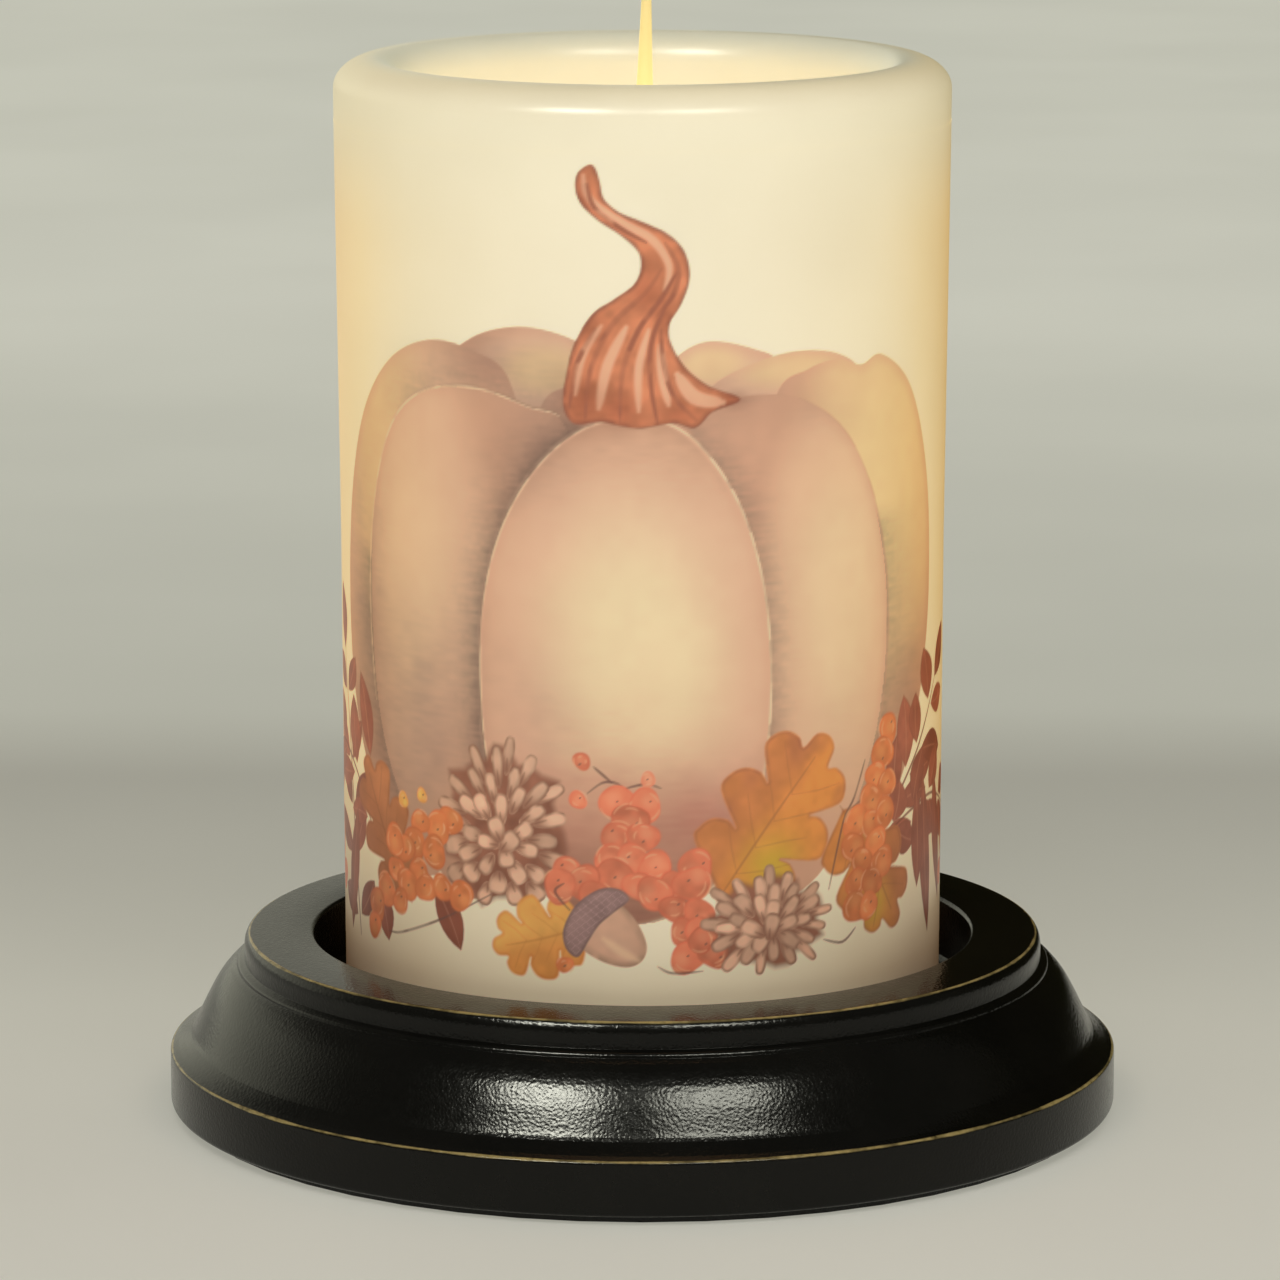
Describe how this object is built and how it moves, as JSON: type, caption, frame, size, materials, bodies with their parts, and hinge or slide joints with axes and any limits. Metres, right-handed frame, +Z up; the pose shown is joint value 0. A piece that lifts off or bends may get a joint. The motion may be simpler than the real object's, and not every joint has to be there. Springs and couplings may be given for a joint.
{
  "type": "electric pillar candle holder lamp",
  "caption": "Turned black wood candle holder with a hollow printed wax sleeve over a flame-tip bulb, with socket, cord, in-line switch and plug.",
  "frame": {"origin": "middle of the lamp's underside, on the table, on the axis of the base and sleeve", "axes": "+Z up along the sleeve's axis; the printed picture faces -Y; the cord leaves the base at +Y"},
  "size_m": [0.162, 0.2875, 0.205],
  "materials": {
    "black_paint": "black satin paint on wood, rubbed to gold on the arrises",
    "felt": "matte felt",
    "wax": "satin cast wax with a printed autumn picture, lit from inside",
    "zinc_steel": "zinc plated",
    "brass": "bare brass",
    "nickel": "nickel plated",
    "phenolic": "moulded phenolic",
    "fibre_tube": "ivory fibre tube",
    "bulb_glass": "clear glass",
    "black_glass": "black glass insulator",
    "filament": "tungsten wire",
    "amber_silicone": "translucent amber silicone",
    "wire_insulation": "vinyl",
    "cord_vinyl": "brown vinyl lamp cord",
    "moulded_plastic": "brown moulded plastic"
  },
  "bodies": {
    "lamp_base": {"wood_base": "black_paint", "felt_pad": "felt", "threaded_nipple": "zinc_steel", "top_washer": "zinc_steel", "top_locknut": "brass", "bottom_washer": "zinc_steel", "bottom_locknut": "brass", "socket_bracket": "zinc_steel", "bracket_screw": "zinc_steel", "socket_housing": "phenolic", "socket_screw_shell": "nickel", "socket_center_contact": "brass", "terminal_screw_line": "brass", "terminal_screw_neutral": "brass", "candle_cover": "fibre_tube", "line_lead": "wire_insulation", "neutral_lead": "wire_insulation", "cord_bushing": "moulded_plastic", "cord_base_to_switch": "cord_vinyl", "cord_switch_to_plug": "cord_vinyl", "switch_bottom_shell": "moulded_plastic", "switch_top_shell": "moulded_plastic", "switch_screw": "zinc_steel", "switch_contact_in": "brass", "switch_contact_out": "brass", "plug_body": "moulded_plastic", "plug_blade_line": "nickel", "plug_blade_neutral": "nickel"},
    "sleeve": {"wax_sleeve": "wax"},
    "bulb": {"bulb_cap": "nickel", "bulb_insulator": "black_glass", "bulb_contact": "nickel", "bulb_glass": "bulb_glass", "bulb_stem": "bulb_glass", "bulb_filament": "filament", "silicone_flame": "amber_silicone"},
    "thumbwheel": {"switch_wheel": "moulded_plastic"}
  },
  "joints": [
    {"name": "sleeve_lift", "type": "slide", "parent": "lamp_base", "child": "sleeve", "axis": [0, 0, 1], "range_m": [0, 0.19]},
    {"name": "bulb_lift", "type": "slide", "parent": "lamp_base", "child": "bulb", "axis": [0, 0, 1], "range_m": [0, 0.03]},
    {"name": "thumbwheel_turn", "type": "hinge", "parent": "lamp_base", "child": "thumbwheel", "pos_m": [0, 0.197, 0.0075], "axis": [0, 0, 1], "continuous": true}
  ]
}
